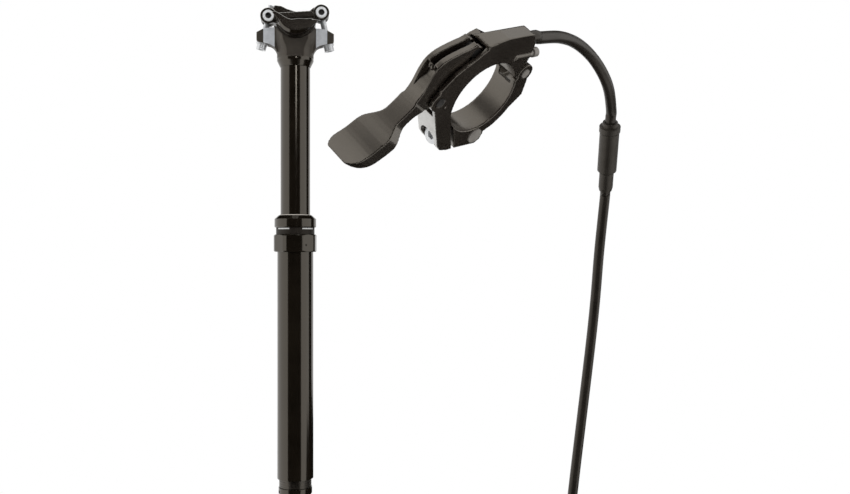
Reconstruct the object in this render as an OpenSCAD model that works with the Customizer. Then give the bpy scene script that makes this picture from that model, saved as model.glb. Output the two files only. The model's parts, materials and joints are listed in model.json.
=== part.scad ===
// Dropper seatpost with its thumb remote and cable housing.
// +Z is up along the post, X is fore and aft along the saddle rails, and the origin is on the post's
// axis at the lower end of the outer tube. Lengths are in millimetres.

/* [Outer tube] */
// Outside diameter of the tube that the seat tube clamps
tube_od = 30.9; // [30.4:0.1:34.9]
// Wall of the outer tube
tube_wall = 1.7; // [1.5:0.1:2.0]
// Length of the outer tube, its top end hidden in the collar
tube_len = 206; // [190:1:240]

/* [Shaft] */
// Outside diameter of the sliding shaft
shaft_od = 25.4; // [24.6:0.1:25.8]
// Wall of the shaft
shaft_wall = 1.7; // [1.4:0.1:2.2]
// Length of the shaft, from its lower end to its end inside the head
shaft_len = 241; // [225:1:280]
// How far the shaft drops
travel = 125; // [100:1:127]

/* [Collar] */
// Diameter of the collar's two knurl-free rings
collar_od = 35.8; // [35:0.1:40]
// Diameter of the marked band between the rings
band_od = 33; // [31:0.1:34.5]
// Height of the lower ring, which grips the tube
collar_h = 15; // [14:0.5:22]
// Height of the band
band_h = 6.1; // [4:0.1:9]
// Height of the upper ring, without its cone
cap_h = 7.3; // [6:0.1:12]
// Height of the cone on top of the upper ring
cone_h = 3.1; // [2:0.1:5]
// Length of the bush inside the top of the tube
bush_len = 26; // [16:1:32]

/* [Head] */
// Width of the head's block, fore and aft
block_w = 34.4; // [32:0.2:38]
// Radius of the block's curved sides
block_r = 17.9; // [17.6:0.1:20]
// Diameter of the neck below the block
neck_d = 31.4; // [30:0.1:33]
// Depth of the socket that holds the shaft
socket_depth = 18; // [12:1:20]
// Height from the head's lower end to the centre of the curved seat
seat_rise = 41; // [39:0.5:46]
// Radius of the curved seat that the cradle tilts in
seat_r = 18; // [17:0.1:19]
// How far the bolt lugs reach from the post's axis
lug_reach = 33; // [31.5:0.5:36]
// Width of the bolt lugs across the post
lug_w = 13; // [12:0.5:15]
// Height of the bolt seats above the head's lower end
lug_seat_rise = 20.5; // [19:0.5:23]
// Distance of each bolt seat from the post's axis
lug_seat_x = 28.2; // [27:0.1:29.5]

/* [Saddle clamp] */
// Tilt of the saddle clamp as photographed
saddle_tilt = 5.2; // [0:0.1:6]
// Diameter of a saddle rail
rail_d = 7; // [6.5:0.1:7.4]
// Distance between the two saddle rails
rail_gap = 44; // [42:0.5:46]
// Drop of the rails below the centre of tilt
rail_drop = 4.5; // [4.2:0.1:5]
// How far the clamp reaches past each rail
rail_cover = 2; // [1.8:0.1:4]
// Distance of each bolt eye from the centre of the clamp
eye_x = 22.7; // [22:0.1:24]
// Rise of the bolt eyes above the centre of tilt
eye_rise = 4.05; // [3:0.05:5]
// Outside radius of the bolt eyes
eye_r = 6.8; // [6:0.1:7.5]
// Width of the bolt eyes across the post
eye_w = 16; // [13:0.5:18]
// Diameter of the barrel nuts in the eyes
nut_d = 9.5; // [9:0.1:10.2]
// Diameter of the clamp bolts' threads
bolt_d = 5; // [4.5:0.1:5.5]
// Length of the clamp bolts under their heads
bolt_len = 34.5; // [32:0.5:36]

/* [Gas spring] */
// Outside diameter of the gas cylinder in the shaft
cyl_od = 19.8; // [18:0.1:20.4]
// Wall of the gas cylinder
cyl_wall = 1.5; // [1:0.1:2]
// Diameter of the fixed piston rod
rod_d = 8; // [7:0.1:9]
// Diameter of the valve pin inside the rod
valve_d = 2.9; // [2.5:0.1:3.5]
// Length of the piston
piston_h = 10; // [8:0.5:12]

/* [Actuator] */
// Diameter of the lock ring under the tube
lock_od = 28.7; // [27.6:0.1:30]
// Depth of the actuator below the tube
actuator_depth = 38; // [36:0.5:42]
// Outside diameter of the actuator housing
actuator_od = 27.2; // [26.6:0.1:27.8]
// Distance of the cable from the post's axis
cable_x = 10; // [9.5:0.1:10.2]
// Depth of the rocker's pivot below the tube
rocker_depth = 24; // [23:0.5:25]
// Distance of the rocker's pivot from the post's axis
rocker_x = 2.6; // [2.2:0.1:3]

/* [Remote] */
// Diameter of the handlebar that the remote clamps
bar_d = 22.2; // [22:0.1:22.8]
// Thickness of the clamp's band
band_t = 3.2; // [2.6:0.1:3.6]
// Width of the clamp along the handlebar
clamp_w = 8.2; // [8:0.1:9]
// Width of the thumb paddle
paddle_w = 11.5; // [9:0.5:14]
// Width of the lever's arm
arm_w = 6; // [5.4:0.1:7]
// Width of the lever's hub and fork
fork_w = 5.2; // [4.6:0.1:5.4]
// Width of the slot in the fork
fork_slot = 1.8; // [1.6:0.1:2]
// Diameter of the lever's pivot pin
pivot_d = 2.6; // [2.2:0.1:3]
// Diameter of the strap's hinge pin
hinge_d = 2.6; // [2.2:0.1:3]
// Diameter of the strap bolt's thread
strap_bolt_d = 3; // [2.8:0.1:3.2]
// Diameter of the barrel nut in the strap
strap_nut_d = 4.6; // [4.4:0.1:4.8]

/* [Cable] */
// Diameter of the cable housing
housing_d = 3.5; // [3:0.1:3.9]
// Diameter of the inner wire
wire_d = 1.2; // [1:0.1:1.4]
// Diameter of the in-line adjuster's barrel
adjuster_d = 6.4; // [6:0.1:8]
// Length of the in-line adjuster's barrel
adjuster_len = 17; // [16:0.5:17.5]
// Diameter of the adjuster's screw
adjuster_screw_d = 4.8; // [4.4:0.1:5.2]
// Length of the adjuster's screw that shows
adjuster_screw_len = 7.5; // [6:0.5:8]

/* [Hidden] */
$fn = 64;

// Clearances
fit = 0.05;          // running fit, on the radius
seat_gap = 0.02;     // pieces that are screwed or pressed together
free_gap = 0.3;      // pieces that move past each other

// Radii of the post
tube_r = tube_od / 2;
tube_in = tube_r - tube_wall;
shaft_r = shaft_od / 2;
shaft_in = shaft_r - shaft_wall;
collar_r = collar_od / 2;
pass_r = shaft_r + free_gap;
bush_in = shaft_r + fit;

// Levels of the collar
collar_grip = 10.7;
collar_z = tube_len - collar_grip;
band_z = collar_z + collar_h;
cap_z = band_z + band_h;
cone_z = cap_z + cap_h;
collar_top = cone_z + cone_h;
collar_chamfer = 1;
corner_r = collar_r + 0.8;
flat_count = 8;
flat_turn = 15.5;
vent_drop = 9.2;
tube_neck_r = tube_r - 0.4;
cone_top_r = pass_r + 1;
wiper_r = pass_r + 0.8;
wiper_h = 7;
wiper_lip = 0.6;

// Levels of the sliding parts
bumper_h = 3;
cap_plug = 3;
bumper_top = cap_plug + bumper_h;
land_gap = 0.5;
shaft_z = bumper_top + land_gap + travel;
shaft_top = shaft_z + shaft_len;
head_z = shaft_top - socket_depth;
seat_z = head_z + seat_rise;
shaft_bush_len = 20;
shaft_bush_z = shaft_z + 1.5;

// Guide keys
key_d = 2.4;
key_len = 10;
key_count = 3;
key_centre = tube_in - key_d * 0.35;
key_z = tube_len - bush_len - key_len - land_gap;

// Gas spring
cyl_r = cyl_od / 2;
cyl_in = cyl_r - cyl_wall;
rod_r = rod_d / 2;
valve_r = valve_d / 2;
seal_head_h = 8;
seal_head_z = shaft_z + 0.5;
cyl_z = seal_head_z + seal_head_h;
cyl_cap_h = 8;
cyl_head_room = 29.5;
cyl_len = shaft_top - cyl_head_room - cyl_cap_h - cyl_z;
piston_z = cyl_z + 12;
rod_foot = -12;
groove_d = 1.4;

// Base and actuator
neck_z = -7;
lock_z = -13;
lock_gap = 0.8;
actuator_r = actuator_od / 2;
actuator_wall = 1.2;
actuator_in = actuator_r - actuator_wall;
actuator_floor = 2.5;
actuator_z = -actuator_depth;
base_neck_r = actuator_in - seat_gap;
base_hollow_r = base_neck_r - 2.4;
thread_pitch = 2;
thread_depth = 0.5;
thread_r = tube_in + 0.1;
oring_d = 1.4;
oring_z = 1.5;
rocker_z = -rocker_depth;
rocker_t = 5.6;
rocker_pin_d = 3;
rocker_hub = 2.4;
rocker_lean = 12.5;
rocker_arm = (cable_x - rocker_x) / cos(rocker_lean);
rocker_tip = sqrt(actuator_in * actuator_in - rocker_t * rocker_t / 4) - rocker_x - free_gap;
nose_r = 1.2;
nose_rise = 1;
anchor_d = 3.4;
anchor_len = 5.6;
anchor_z = rocker_z + rocker_arm * sin(rocker_lean);
valve_foot = rocker_z + nose_rise + nose_r + free_gap;
valve_top = piston_z - 6;
ferrule_d = housing_d + 2.2;
ferrule_len = 6;
ferrule_seat = 4;
cable_pull = 3.3;
wire_end = actuator_z - ferrule_len + ferrule_seat + cable_pull + free_gap;

// Levels of the head above its lower end
neck_flare = 5.5;
neck_h = 12.5;
shoulder = 14;
block_h = 35.5;
block_edge = 1;
milled_half = 14;
milled_rise = 7.8;

// Saddle clamp, measured from the centre of tilt
cradle_r = seat_r - fit;
cradle_top = -rail_drop - 0.4;
cradle_relief = 1.7;
cradle_out_r = cradle_r - cradle_relief;
cradle_end_r = cradle_out_r - 2;
cradle_bevel = 3;
cradle_step = milled_half + free_gap;
clamp_bottom = -rail_drop + 0.4;
rail_r = rail_d / 2;
clamp_len = rail_gap + rail_d + 2 * rail_cover;
lip_t = rail_cover - 2 * fit;
lip_y = clamp_len / 2 - lip_t;
wing_half = 16;
wing_len = 2 * (lip_y - free_gap);
wing_top = 1.8;
yoke_w = 13;
lip_outline = [
    [-19.2, 2.1], [-18.4, 2.9], [-16.4, 2.7], [-13.4, 1], [-10.6, -1.2], [-7, -3.6], [-3.6, -4.7],
    [2, -4.3], [10.2, -5.3], [17.6, -6.5], [18.3, -7.2], [16.6, -9.2], [12.4, -11.8], [7, -13.6],
    [1.6, -14.4], [-3.6, -13.6], [-7.6, -11.4], [-11, -8], [-14.4, -4.2], [-17.6, 0]
];

// Bolt seats and eyes in the post's frame
function tilt(p) = [p[0] * cos(saddle_tilt) - p[1] * sin(saddle_tilt),
                    p[0] * sin(saddle_tilt) + p[1] * cos(saddle_tilt)];
function eye_at(side) = tilt([side * eye_x, eye_rise]) + [0, seat_z];
function lug_seat(side) = [side * lug_seat_x, head_z + lug_seat_rise];
function bolt_dir(side) = eye_at(side) - lug_seat(side);
function bolt_lean(side) = atan2(bolt_dir(side)[0], bolt_dir(side)[1]);
FRONT = 1;
REAR = -1;
bolt_r = bolt_d / 2;
bolt_head_r = 4.2;
bolt_head_h = 4.6;
bolt_socket_r = 2.3;
bolt_swing = 1.2;
washer_ball = 5.2;
washer_h = 2.2;
nut_r = nut_d / 2;
nut_socket_r = 2.4;
nut_socket_depth = 3;

// Remote: its place ahead of the post, its attitude, and points in its own plane
remote_pos = [47.6, -597.7, 241.9];
remote_turn = [151, -46.5, 0];
remote_lean = [8.6, 0, -10.92];
bar_r = bar_d / 2;
ring_r = bar_r + band_t;
half_w = clamp_w / 2;
pivot_at = [-8.4, 14.9];
pivot_r = pivot_d / 2;
hub_r = 2.5;
ear_r = 2.9;
hub_room = 5.4;
slot_floor = bar_r + 1.7;
slot_half = fork_w / 2 + free_gap;
hinge_at = [12.5, -7.6];
hinge_r = hinge_d / 2;
knuckle_r = 2.7;
tongue_half = 2.1;
hinge_notch = 4.6;
split_at = [-11.8, 0.9];
split_turn = 61.5;
split_gap = 0.8;
strap_bolt_at = [-17.3, 1.1];
strap_bolt_turn = -55.2;
strap_bolt_r = strap_bolt_d / 2;
strap_head_r = 2.6;
strap_head_h = 2.6;
strap_head_in = 1;
strap_bolt_reach = 14.7;
strap_nut_reach = 14.2;
strap_nut_r = strap_nut_d / 2;
strap_bolt_room = 0.5;
cable_exit = [18.8, -1.25];
cable_turn = -54;
block_len = 18.6;
block_half = 4.4;
block_top = 4.5;
block_far = 3.4;
seat_back = 20.5;
head_pin_r = 1.5;
head_pin_len = 4.6;
head_slack = [-1.6, -0.65];
housing_r = housing_d / 2;
wire_r = wire_d / 2;
wire_room = 1.1;
block_ferrule_len = 6;
block_ferrule_r = housing_r + 0.6;
block_ferrule_out = 0.5;
screw_r = 0.9;
screw_len = 3;
screw_head_r = 1.35;
screw_head_h = 1.7;
screw_head_out = 1.5;
screw_socket_r = 0.75;
screw_boss_r = 1.5;
screw_off = block_ferrule_r + free_gap + screw_head_r;
screw_turn = 48;
reach = 4 * ring_r;
through = 5 * clamp_w;

// Lever: its side profile from the paddle's end to the fork, and its plan
lever_top = [
    [-34.9, 28.8], [-32.6, 27], [-29.5, 25.2], [-25.5, 23.9], [-21.5, 22.3], [-17.5, 21.3],
    [-13.3, 21], [-9.6, 21.6], [-6, 23.3], [-2.8, 24.2], [0.4, 23.5], [4.4, 20.9], [7.2, 18.7], [8.6, 18.1]
];
lever_under = [
    [7.6, 13.1], [5, 14.6], [1.5, 16], [-3.5, 16.4], [-6.4, 13.4], [-8.4, 12.5], [-10.6, 13.6], [-12.6, 15.9],
    [-15.4, 17.6], [-18.8, 18.2], [-22.6, 18.6], [-26.5, 19.5], [-30.5, 21.1], [-34, 23.9],
    [-35.3, 26.4]
];
fork_nose_r = 2.3;
pocket_end = 9.6;
paddle_end = -35.3;
paddle_neck = -25;
arm_start = -18.5;
arm_end = -13.2;
paddle_corner = 4;

// Cable route, ahead of the post and back to it, with round points chosen by hand
adjuster_top = [102, -547, 239];
adjuster_dir = [0.12, 0.57, -0.813];
upper_route = [
    [65.4, -597.2, 256.3], [73, -590, 258.2], [80, -582, 258.6], [87, -573.4, 257], [93, -565.8, 253.6],
    [97.6, -559, 249.2]
];
lower_route = [
    [105, -526, 198], [104, -521, 170], [98, -517, 111], [95, -513, 70], [92, -505, 30], [88, -490, -8],
    [82, -464, -44], [74, -424, -76], [64, -370, -100], [44, -245, -122], [24, -110, -129], [16, -60, -128],
    [12, -30, -121], [10.4, -11, -108], [10, -1.5, -92]
];
cord_sides = 8;
cord_steps = 3;

// Helpers

module ring(r_out, r_in, z0, z1) {
    translate([0, 0, z0])
        difference() {
            cylinder(r = r_out, h = z1 - z0);
            translate([0, 0, -1]) cylinder(r = r_in, h = z1 - z0 + 2);
        }
}

module bar_y(r, length) {
    rotate([90, 0, 0]) cylinder(r = r, h = length, center = true);
}

module turned(points) {
    rotate_extrude() polygon(points);
}

module in_clamp() {
    translate([0, 0, seat_z]) rotate([0, -saddle_tilt, 0]) children();
}

module on_bolt(side) {
    translate([lug_seat(side)[0], 0, lug_seat(side)[1]])
        rotate([0, bolt_lean(side), 0]) children();
}

module on_remote() {
    translate(remote_pos) rotate(remote_lean) rotate(remote_turn) children();
}

module slab(height) {
    linear_extrude(height, center = true) children();
}

// Along the cable's line in the remote's plane: X runs out of the block, Y across it
module on_cable() {
    translate([cable_exit[0], cable_exit[1], 0]) rotate([0, 0, cable_turn]) children();
}

module along_x(r, x0, x1) {
    translate([x0, 0, 0]) rotate([0, 90, 0]) cylinder(r = r, h = x1 - x0);
}

module on_strap_bolt() {
    translate([strap_bolt_at[0], strap_bolt_at[1], 0]) rotate([0, 0, strap_bolt_turn]) children();
}

// Smooth curve through a list of points
function spline(p, i, t) =
    let(a = p[max(i - 1, 0)], b = p[i], c = p[i + 1], d = p[min(i + 2, len(p) - 1)])
    0.5 * (2 * b + (c - a) * t + (2 * a - 5 * b + 4 * c - d) * t * t
        + (3 * b - a - 3 * c + d) * t * t * t);
function smooth(p, n) = concat(
    [for (i = [0 : len(p) - 2], k = [0 : n - 1]) spline(p, i, k / n)], [p[len(p) - 1]]);

// Tube swept along a list of points, square to it at each ring
function unit(v) = v / norm(v);
function heading(p, i) = unit(p[min(i + 1, len(p) - 1)] - p[max(i - 1, 0)]);
function side_of(p, i) = unit(cross(heading(p, i), [0.9, -0.3, 0.31]));
function ring_points(p, i, r, n) =
    let(s = side_of(p, i), t = cross(heading(p, i), s))
    [for (k = [0 : n - 1]) p[i] + r * (cos(360 * k / n) * s + sin(360 * k / n) * t)];
module swept(p, r, n) {
    points = [for (i = [0 : len(p) - 1]) each ring_points(p, i, r, n)];
    last = (len(p) - 1) * n;
    walls = [for (i = [0 : len(p) - 2], k = [0 : n - 1])
        let(a = i * n + k, b = i * n + (k + 1) % n)
        each [[a, b, b + n], [a, b + n, a + n]]];
    ends = [for (k = [1 : n - 2]) each [[0, k + 1, k], [last, last + k, last + k + 1]]];
    polyhedron(concat(points), concat(walls, ends));
}

// Outer tube and collar

module outer_tube() {
    color("#17130f")
        difference() {
            turned([[tube_in, 0], [tube_r, 0], [tube_r, collar_z], [tube_neck_r, collar_z],
                    [tube_neck_r, tube_len], [tube_in, tube_len]]);
            for (k = [0 : key_count - 1])
                rotate([0, 0, 90 + 360 * k / key_count])
                    translate([key_centre, 0, 6])
                        cylinder(d = key_d + 2 * fit, h = tube_len - bush_len - 6);
        }
}

module collar_base() {
    color("#14110e")
        difference() {
            intersection() {
                turned([[tube_neck_r + seat_gap, collar_z + seat_gap],
                        [corner_r - collar_chamfer, collar_z + seat_gap],
                        [corner_r, collar_z + collar_chamfer], [corner_r, band_z - collar_chamfer],
                        [corner_r - collar_chamfer, band_z], [pass_r, band_z], [pass_r, tube_len + seat_gap],
                        [tube_neck_r + seat_gap, tube_len + seat_gap]]);
                rotate([0, 0, flat_turn]) translate([0, 0, collar_z])
                    cylinder(r = collar_r / cos(180 / flat_count), h = collar_h + 1, $fn = flat_count);
            }
            rotate([0, 0, -60])
                translate([collar_r - 1, 0, band_z - vent_drop]) rotate([0, 90, 0]) cylinder(d = 1.6, h = 2);
        }
}

module collar_band() {
    color("#1b1815") ring(band_od / 2, pass_r, band_z + seat_gap, cap_z - seat_gap);
}

module seal_cap() {
    color("#14110e")
        turned([[pass_r, cap_z], [collar_r - 0.5, cap_z], [collar_r, cap_z + 0.5], [collar_r, cone_z],
                [cone_top_r + 0.5, collar_top], [wiper_r, collar_top],
                [wiper_r, collar_top - wiper_h + 0.6], [pass_r, collar_top - wiper_h + 0.6]]);
}

module wiper_seal() {
    color("#2a2826")
        turned([[bush_in, collar_top - wiper_h + 0.7], [wiper_r - seat_gap, collar_top - wiper_h + 0.7],
                [wiper_r - seat_gap, collar_top], [bush_in + 0.4, collar_top + wiper_lip],
                [bush_in, collar_top + wiper_lip]]);
}

module upper_bushing() {
    color("#8a8578")
        ring(tube_in - seat_gap, bush_in, tube_len - bush_len, tube_len);
}

// Base of the post

module base_cap() {
    color("#1d1a17")
        difference() {
            turned([[rod_r + seat_gap, cap_plug], [rod_r + seat_gap, rod_foot + 2],
                    [base_hollow_r, rod_foot + 2], [base_hollow_r, lock_z - 4], [base_neck_r, lock_z - 4],
                    [base_neck_r, neck_z], [thread_r, neck_z], [thread_r, -0.4],
                    [tube_in - seat_gap, -0.4], [tube_in - seat_gap, cap_plug]]);
            for (k = [0 : 2])
                translate([0, 0, neck_z + 1 + k * thread_pitch])
                    ring(thread_r + 1, thread_r - thread_depth, 0, thread_pitch / 2);
            ring(tube_r, tube_in - oring_d, oring_z - oring_d / 2, oring_z + oring_d / 2);
        }
}

module base_seal() {
    color("#101010")
        translate([0, 0, oring_z])
            rotate_extrude()
                translate([tube_in - oring_d / 2, 0]) circle(d = oring_d - 2 * seat_gap, $fn = 24);
}

module lock_ring() {
    color("#191613")
        difference() {
            ring(lock_od / 2, base_neck_r + seat_gap, lock_z, neck_z - lock_gap);
            for (a = [15 : 60 : 345])
                rotate([0, 0, a])
                    translate([lock_od / 2, 0, lock_z]) cube([1.4, 3, 6], center = true);
        }
}

module bottom_bumper() {
    color("#2c2a28") ring(shaft_r - 0.4, rod_r + 1.2, cap_plug, bumper_top);
}

module piston_rod() {
    color("#b9bbbd")
        difference() {
            translate([0, 0, rod_foot]) cylinder(r = rod_r, h = piston_z + piston_h - 2 - rod_foot);
            translate([0, 0, rod_foot - 1])
                cylinder(r = valve_r + fit, h = piston_z - rod_foot);
        }
}

module piston() {
    color("#8f9294")
        difference() {
            translate([0, 0, piston_z]) cylinder(r = cyl_in - fit, h = piston_h);
            translate([0, 0, piston_z - 1])
                cylinder(r = rod_r + seat_gap, h = piston_h - 2 + 1 + seat_gap);
            translate([0, 0, piston_z + piston_h / 2 - groove_d / 2])
                ring(cyl_in + 1, cyl_in - groove_d, 0, groove_d);
        }
}

module piston_seal() {
    color("#101010")
        translate([0, 0, piston_z + piston_h / 2])
            rotate_extrude()
                translate([cyl_in - groove_d / 2 - fit, 0]) circle(d = groove_d - 0.15, $fn = 24);
}

// Actuator under the post

module actuator_housing() {
    color("#1a1714")
        difference() {
            turned([[0, actuator_z], [actuator_r - 1, actuator_z], [actuator_r, actuator_z + 1],
                    [actuator_r, lock_z - 0.3], [actuator_in, lock_z - 0.3],
                    [actuator_in, actuator_z + actuator_floor], [0, actuator_z + actuator_floor]]);
            translate([cable_x, 0, actuator_z - 1])
                cylinder(d = ferrule_d - 1 + 2 * seat_gap, h = actuator_floor + 2);
            translate([rocker_x, 0, rocker_z]) bar_y(rocker_pin_d / 2 + seat_gap, 2 * actuator_od);
        }
}

module actuator_pivot_pin() {
    color("#b4b6b8")
        intersection() {
            translate([rocker_x, 0, rocker_z]) bar_y(rocker_pin_d / 2, 2 * actuator_od);
            translate([0, 0, actuator_z]) cylinder(r = actuator_r - 0.3, h = actuator_depth);
        }
}

module actuator_cam() {
    color("#a8792f")
        translate([rocker_x, 0, rocker_z])
            difference() {
                intersection() {
                    rotate([90, 0, 0]) slab(rocker_t) rocker_profile();
                    bar_y(rocker_tip, rocker_t + 2);
                }
                bar_y(rocker_pin_d / 2 + fit, rocker_t + 2);
                rotate([0, -rocker_lean, 0]) translate([rocker_arm, 0, 0]) {
                    bar_y(anchor_d / 2 + free_gap, rocker_t + 2);
                    translate([-anchor_d / 2 - free_gap, -rocker_t, 0])
                        cube([anchor_d + 2 * free_gap, 2 * rocker_t, 10]);
                    translate([0, 0, -5]) cube([10, wire_d + 2 * wire_room, 12], center = true);
                }
            }
}

module rocker_profile() {
    circle(r = rocker_hub);
    rotate(rocker_lean) {
        translate([0, -2.2]) square([rocker_arm + 1.2, 3.6]);
        translate([rocker_arm, -0.6]) circle(r = anchor_d / 2 + 0.8);
    }
    translate([-rocker_x, nose_rise]) circle(r = nose_r);
    translate([-rocker_x, nose_rise - nose_r]) square([rocker_x, nose_r * 1.6]);
}

module actuator_ferrule() {
    color("#c2c4c6")
        translate([cable_x, 0, actuator_z])
            difference() {
                union() {
                    translate([0, 0, -ferrule_len]) cylinder(d = ferrule_d, h = ferrule_len - seat_gap);
                    translate([0, 0, -1]) cylinder(d = ferrule_d - 1, h = 1 + actuator_floor);
                }
                translate([0, 0, -ferrule_len - 1])
                    cylinder(d = housing_d + 2 * seat_gap, h = ferrule_seat + 1);
                translate([0, 0, -ferrule_len]) cylinder(d = wire_d + 2 * free_gap, h = ferrule_len + 5);
            }
}

module cable_anchor() {
    color("#c9cacc")
        translate([cable_x, 0, anchor_z])
            difference() {
                bar_y(anchor_d / 2, anchor_len);
                cylinder(d = wire_d + 2 * seat_gap, h = 20, center = true);
            }
}

module actuator_wire() {
    color("#d0d2d4")
        translate([cable_x, 0, wire_end])
            cylinder(d = wire_d, h = anchor_z + anchor_d / 2 - 0.2 - wire_end);
}

module valve_pin() {
    color("#d4d5d6")
        translate([0, 0, valve_foot]) cylinder(r = valve_r, h = valve_top - valve_foot);
}

// Sliding shaft

module shaft() {
    color("#16120e")
        difference() {
            ring(shaft_r, shaft_in, shaft_z, shaft_top);
            for (k = [0 : key_count - 1])
                rotate([0, 0, 90 + 360 * k / key_count])
                    translate([key_centre, 0, key_z - seat_gap])
                        cylinder(d = key_d + 2 * seat_gap, h = key_len + 2 * seat_gap);
        }
}

module shaft_bushing() {
    color("#3a3733")
        ring(tube_in - fit, shaft_r + seat_gap, shaft_bush_z, shaft_bush_z + shaft_bush_len);
}

module guide_keys() {
    color("#b48a3c")
        for (k = [0 : key_count - 1])
            rotate([0, 0, 90 + 360 * k / key_count])
                translate([key_centre, 0, key_z]) cylinder(d = key_d, h = key_len);
}

module gas_cylinder() {
    color("#9ea1a4") ring(cyl_r, cyl_in, cyl_z + seat_gap, cyl_z + cyl_len);
}

module cylinder_seal_head() {
    color("#6f7275")
        difference() {
            translate([0, 0, seal_head_z]) cylinder(r = shaft_in - seat_gap, h = seal_head_h);
            translate([0, 0, seal_head_z - 1]) cylinder(r = rod_r + fit, h = seal_head_h + 2);
        }
}

module cylinder_cap() {
    color("#6f7275")
        turned([[0, cyl_z + cyl_len + seat_gap], [shaft_in - seat_gap, cyl_z + cyl_len + seat_gap],
                [shaft_in - seat_gap, cyl_z + cyl_len + cyl_cap_h], [0, cyl_z + cyl_len + cyl_cap_h]]);
}

// Head and saddle clamp

module head() {
    color("#1b1815")
        difference() {
            union() {
                translate([0, 0, head_z]) head_block();
                for (side = [FRONT, REAR]) lug(side);
            }
            translate([0, 0, head_z - 1]) cylinder(r = shaft_r + seat_gap, h = socket_depth + 1 + seat_gap);
            translate([0, 0, seat_z]) bar_y(seat_r, 4 * block_r);
            for (side = [FRONT, REAR]) on_bolt(side) lug_cut();
        }
}

module head_block() {
    neck_r = neck_d / 2;
    step = block_r - neck_r;
    difference() {
        turned([[0, 0], [shaft_r + 0.3, 0], [neck_r, neck_flare], [neck_r, neck_h],
                [neck_r + 0.14 * step, neck_h + shoulder * 0.25],
                [neck_r + 0.5 * step, neck_h + shoulder * 0.5],
                [neck_r + 0.86 * step, neck_h + shoulder * 0.75],
                [block_r, neck_h + shoulder], [block_r, block_h - block_edge],
                [block_r - block_edge, block_h], [0, block_h]]);
        for (s = [0, 180]) rotate([0, 0, s]) {
            translate([block_w / 2, -2 * block_r, -1]) cube([block_r, 4 * block_r, 2 * block_h]);
            translate([-2 * block_r, milled_half, milled_rise]) cube([4 * block_r, block_r, block_h]);
        }
    }
}

// A lug's outline, from the block out to its nose, seen along the post's side
module lug(side) {
    seat_x = lug_seat_x;
    root_x = block_w / 2 - 4;
    low = lug_seat_rise - 1.2;
    mirror([side < 0 ? 1 : 0, 0, 0])
        translate([0, 0, head_z]) rotate([90, 0, 0]) slab(lug_w)
            polygon([[root_x, low - 7.6], [block_w / 2 - 1.4, low - 6.9], [block_w / 2 - 0.2, low - 4.3],
                     [block_w / 2 + 1.5, low - 2.2], [block_w / 2 + 3.6, low - 1], [seat_x - 3.5, low],
                     [lug_reach - 0.6, low + 1.8],
                     [lug_reach, low + 3], [lug_reach, low + 9.6], [lug_reach - 6.6, low + 13.2],
                     [block_w / 2 + 3, low + 14], [root_x, low + 14]]);
}

// The bolt's passage and its ball seat, with room for the bolt to swing
module lug_cut() {
    translate([0, 0, -30]) cylinder(r = bolt_r + bolt_swing, h = 70);
    sphere(r = washer_ball + fit);
    translate([0, 0, -30]) cylinder(r = washer_ball + fit, h = 30);
}

module bolt_washer(side) {
    color("#c4c6c8")
        on_bolt(side)
            difference() {
                intersection() {
                    sphere(r = washer_ball);
                    translate([0, 0, -washer_h / 2])
                        cylinder(r = washer_ball + 1, h = washer_ball * 0.62 + washer_h / 2);
                }
                cylinder(r = bolt_r + seat_gap, h = 40, center = true);
            }
}

module front_bolt_washer() { bolt_washer(FRONT); }
module rear_bolt_washer() { bolt_washer(REAR); }

module clamp_bolt(side) {
    color("#b9bcbf")
        on_bolt(side)
            translate([0, 0, -washer_h / 2 - seat_gap])
                difference() {
                    union() {
                        cylinder(r = bolt_r, h = bolt_len);
                        translate([0, 0, -bolt_head_h]) cylinder(r = bolt_head_r, h = bolt_head_h);
                    }
                    translate([0, 0, -bolt_head_h - 1]) cylinder(r = bolt_socket_r, h = 3.6, $fn = 6);
                }
}

module front_clamp_bolt() { clamp_bolt(FRONT); }
module rear_clamp_bolt() { clamp_bolt(REAR); }

module barrel_nut(side) {
    color("#cfd1d3")
        translate([eye_at(side)[0], 0, eye_at(side)[1]])
            rotate([0, bolt_lean(side), 0])
                difference() {
                    bar_y(nut_r, eye_w + 0.6);
                    cylinder(r = bolt_r + free_gap, h = 40, center = true);
                    for (s = [-1, 1])
                        translate([0, s * (eye_w / 2 + 0.3), 0]) bar_y(nut_socket_r, 2 * nut_socket_depth);
                }
}

module front_barrel_nut() { barrel_nut(FRONT); }
module rear_barrel_nut() { barrel_nut(REAR); }

module rails_cut() {
    for (s = [-1, 1])
        translate([-40, s * rail_gap / 2, -rail_drop]) along_x(rail_r + fit, 0, 80);
}

module lower_cradle() {
    color("#191613")
        in_clamp()
            difference() {
                union() {
                    intersection() {
                        rotate([90, 0, 0]) cradle_round();
                        translate([0, 0, cradle_top - 20]) cube([60, 80, 40], center = true);
                    }
                    for (s = [-1, 1])
                        translate([0, s * (lip_y + lip_t / 2), 0]) rotate([90, 0, 0])
                            slab(lip_t) polygon(lip_outline);
                }
                rails_cut();
            }
}

module cradle_round() {
    half = clamp_len / 2;
    turned([[0, -half], [cradle_end_r, -half], [cradle_out_r, cradle_bevel - half],
            [cradle_out_r, -cradle_step], [cradle_r, -cradle_step], [cradle_r, cradle_step],
            [cradle_out_r, cradle_step], [cradle_out_r, half - cradle_bevel],
            [cradle_end_r, half], [0, half]]);
}

module upper_clamp() {
    color("#191613")
        in_clamp()
            difference() {
                union() {
                    for (s = [-1, 1])
                        translate([s * eye_x, 0, eye_rise]) bar_y(eye_r, eye_w);
                    rotate([90, 0, 0]) slab(wing_len) clamp_wing();
                    rotate([90, 0, 0]) slab(yoke_w) yoke_web();
                }
                for (s = [-1, 1])
                    translate([s * eye_x, 0, eye_rise]) {
                        bar_y(nut_r + fit, 80);
                        rotate([0, -s * window_lean, 0]) bolt_window();
                    }
                rails_cut();
            }
}

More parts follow.
